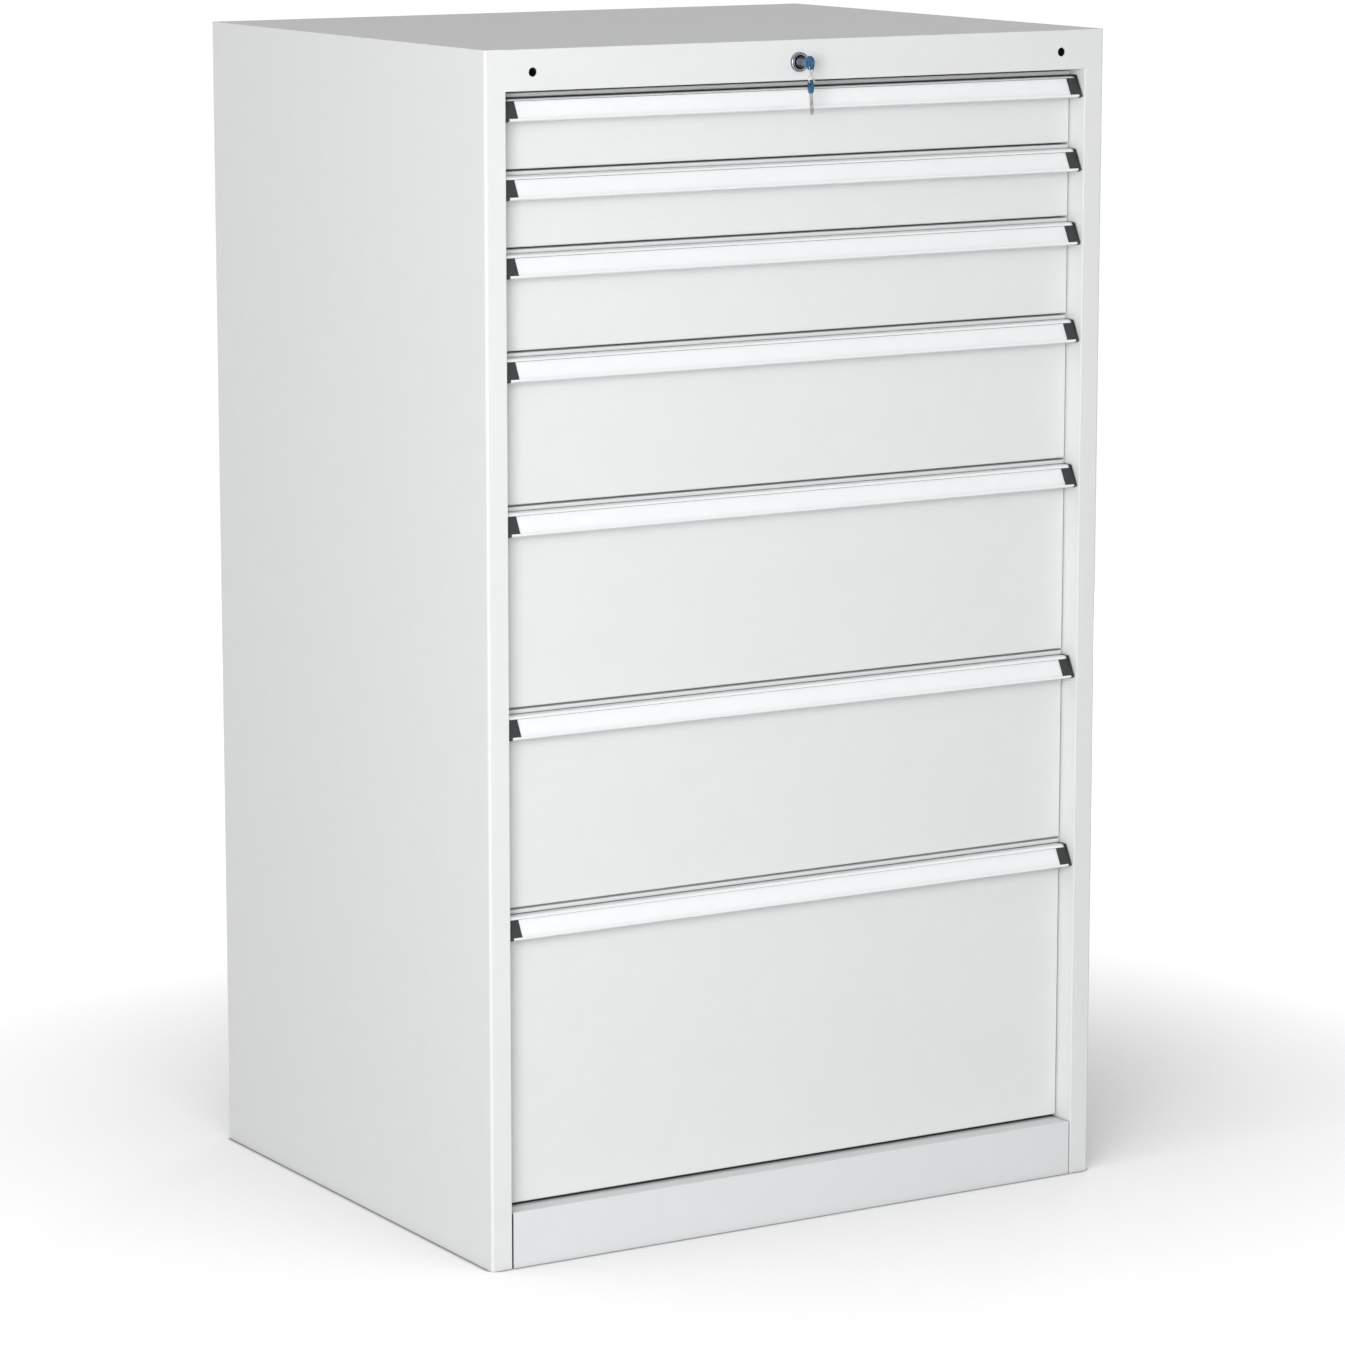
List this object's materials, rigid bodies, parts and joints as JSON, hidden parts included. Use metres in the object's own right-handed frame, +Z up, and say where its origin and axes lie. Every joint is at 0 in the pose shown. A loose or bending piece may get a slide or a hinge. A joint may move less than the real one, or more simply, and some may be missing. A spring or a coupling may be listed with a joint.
{
  "type": "workshop drawer cabinet",
  "caption": "Floor-standing sheet-steel workshop cabinet with a stack of full-width drawers on telescopic runners, label-strip pulls and one central key lock.",
  "frame": {"origin": "on the floor, at the middle of the overall outline, keys included", "axes": "+Z up, drawers open towards -Y, +X to the right of someone facing the drawers"},
  "size_m": [0.72, 0.612, 1.2],
  "materials": {
    "painted_steel": "satin",
    "zinc_steel": "satin",
    "handle_aluminium": "satin",
    "black_plastic": "matte",
    "label_card": "matte",
    "chrome": "polished",
    "key_metal": "satin",
    "blue_plastic": "gloss"
  },
  "bodies": {
    "cabinet": {"side_panel_left": "painted_steel", "side_panel_right": "painted_steel", "top_panel": "painted_steel", "back_panel": "painted_steel", "base_panel": "painted_steel", "plinth_panel": "painted_steel", "runner_uprights": "zinc_steel", "cabinet_rails": "zinc_steel", "lock_housing": "chrome", "lock_nut": "zinc_steel"},
    "drawer_1": {"drawer_1_box": "painted_steel", "drawer_1_front": "painted_steel", "drawer_1_handle": "handle_aluminium", "drawer_1_handle_caps": "black_plastic", "drawer_1_label_strip": "label_card"},
    "drawer_1_runners": {"drawer_1_middle_rails": "zinc_steel"},
    "drawer_2": {"drawer_2_box": "painted_steel", "drawer_2_front": "painted_steel", "drawer_2_handle": "handle_aluminium", "drawer_2_handle_caps": "black_plastic", "drawer_2_label_strip": "label_card"},
    "drawer_2_runners": {"drawer_2_middle_rails": "zinc_steel"},
    "drawer_3": {"drawer_3_box": "painted_steel", "drawer_3_front": "painted_steel", "drawer_3_handle": "handle_aluminium", "drawer_3_handle_caps": "black_plastic", "drawer_3_label_strip": "label_card"},
    "drawer_3_runners": {"drawer_3_middle_rails": "zinc_steel"},
    "drawer_4": {"drawer_4_box": "painted_steel", "drawer_4_front": "painted_steel", "drawer_4_handle": "handle_aluminium", "drawer_4_handle_caps": "black_plastic", "drawer_4_label_strip": "label_card"},
    "drawer_4_runners": {"drawer_4_middle_rails": "zinc_steel"},
    "drawer_5": {"drawer_5_box": "painted_steel", "drawer_5_front": "painted_steel", "drawer_5_handle": "handle_aluminium", "drawer_5_handle_caps": "black_plastic", "drawer_5_label_strip": "label_card"},
    "drawer_5_runners": {"drawer_5_middle_rails": "zinc_steel"},
    "drawer_6": {"drawer_6_box": "painted_steel", "drawer_6_front": "painted_steel", "drawer_6_handle": "handle_aluminium", "drawer_6_handle_caps": "black_plastic", "drawer_6_label_strip": "label_card"},
    "drawer_6_runners": {"drawer_6_middle_rails": "zinc_steel"},
    "drawer_7": {"drawer_7_box": "painted_steel", "drawer_7_front": "painted_steel", "drawer_7_handle": "handle_aluminium", "drawer_7_handle_caps": "black_plastic", "drawer_7_label_strip": "label_card"},
    "drawer_7_runners": {"drawer_7_middle_rails": "zinc_steel"},
    "lock_rotor": {"lock_plug": "chrome", "lock_rod": "zinc_steel"},
    "locking_bar": {"locking_bar": "zinc_steel"},
    "key": {"key_blade": "key_metal", "key_bow": "blue_plastic"},
    "key_ring": {"key_ring": "key_metal"}
  },
  "joints": [
    {"name": "drawer_1_slide", "type": "slide", "parent": "cabinet", "child": "drawer_1", "axis": [0, -1, 0], "range_m": [0, 0.49]},
    {"name": "drawer_1_runner_slide", "type": "slide", "parent": "cabinet", "child": "drawer_1_runners", "axis": [0, -1, 0], "range_m": [0, 0.245]},
    {"name": "drawer_2_slide", "type": "slide", "parent": "cabinet", "child": "drawer_2", "axis": [0, -1, 0], "range_m": [0, 0.49]},
    {"name": "drawer_2_runner_slide", "type": "slide", "parent": "cabinet", "child": "drawer_2_runners", "axis": [0, -1, 0], "range_m": [0, 0.245]},
    {"name": "drawer_3_slide", "type": "slide", "parent": "cabinet", "child": "drawer_3", "axis": [0, -1, 0], "range_m": [0, 0.49]},
    {"name": "drawer_3_runner_slide", "type": "slide", "parent": "cabinet", "child": "drawer_3_runners", "axis": [0, -1, 0], "range_m": [0, 0.245]},
    {"name": "drawer_4_slide", "type": "slide", "parent": "cabinet", "child": "drawer_4", "axis": [0, -1, 0], "range_m": [0, 0.49]},
    {"name": "drawer_4_runner_slide", "type": "slide", "parent": "cabinet", "child": "drawer_4_runners", "axis": [0, -1, 0], "range_m": [0, 0.245]},
    {"name": "drawer_5_slide", "type": "slide", "parent": "cabinet", "child": "drawer_5", "axis": [0, -1, 0], "range_m": [0, 0.49]},
    {"name": "drawer_5_runner_slide", "type": "slide", "parent": "cabinet", "child": "drawer_5_runners", "axis": [0, -1, 0], "range_m": [0, 0.245]},
    {"name": "drawer_6_slide", "type": "slide", "parent": "cabinet", "child": "drawer_6", "axis": [0, -1, 0], "range_m": [0, 0.49]},
    {"name": "drawer_6_runner_slide", "type": "slide", "parent": "cabinet", "child": "drawer_6_runners", "axis": [0, -1, 0], "range_m": [0, 0.245]},
    {"name": "drawer_7_slide", "type": "slide", "parent": "cabinet", "child": "drawer_7", "axis": [0, -1, 0], "range_m": [0, 0.49]},
    {"name": "drawer_7_runner_slide", "type": "slide", "parent": "cabinet", "child": "drawer_7_runners", "axis": [0, -1, 0], "range_m": [0, 0.245]},
    {"name": "key_turn", "type": "hinge", "parent": "cabinet", "child": "lock_rotor", "pos_m": [-0.007, -0.279, 1.178], "axis": [0, 1, 0], "range_deg": [0, 90]},
    {"name": "locking_bar_lift", "type": "slide", "parent": "cabinet", "child": "locking_bar", "axis": [0, 0, 1], "range_m": [0, 0.011]},
    {"name": "key_pull", "type": "slide", "parent": "lock_rotor", "child": "key", "axis": [0, -1, 0], "range_m": [0, 0.03]},
    {"name": "key_ring_hang", "type": "hinge", "parent": "key", "child": "key_ring", "pos_m": [-0.007, -0.3016, 1.1727], "axis": [0, 1, 0], "range_deg": [-90.1, 0.1]}
  ],
  "couplings": [
    {"joint": "drawer_1_runner_slide", "follows": "drawer_1_slide", "ratio": 0.5},
    {"joint": "drawer_2_runner_slide", "follows": "drawer_2_slide", "ratio": 0.5},
    {"joint": "drawer_3_runner_slide", "follows": "drawer_3_slide", "ratio": 0.5},
    {"joint": "drawer_4_runner_slide", "follows": "drawer_4_slide", "ratio": 0.5},
    {"joint": "drawer_5_runner_slide", "follows": "drawer_5_slide", "ratio": 0.5},
    {"joint": "drawer_6_runner_slide", "follows": "drawer_6_slide", "ratio": 0.5},
    {"joint": "drawer_7_runner_slide", "follows": "drawer_7_slide", "ratio": 0.5},
    {"joint": "key_turn", "follows": "locking_bar_lift", "rad_per_m": 142.8},
    {"joint": "key_ring_hang", "follows": "locking_bar_lift", "rad_per_m": -142.8}
  ]
}
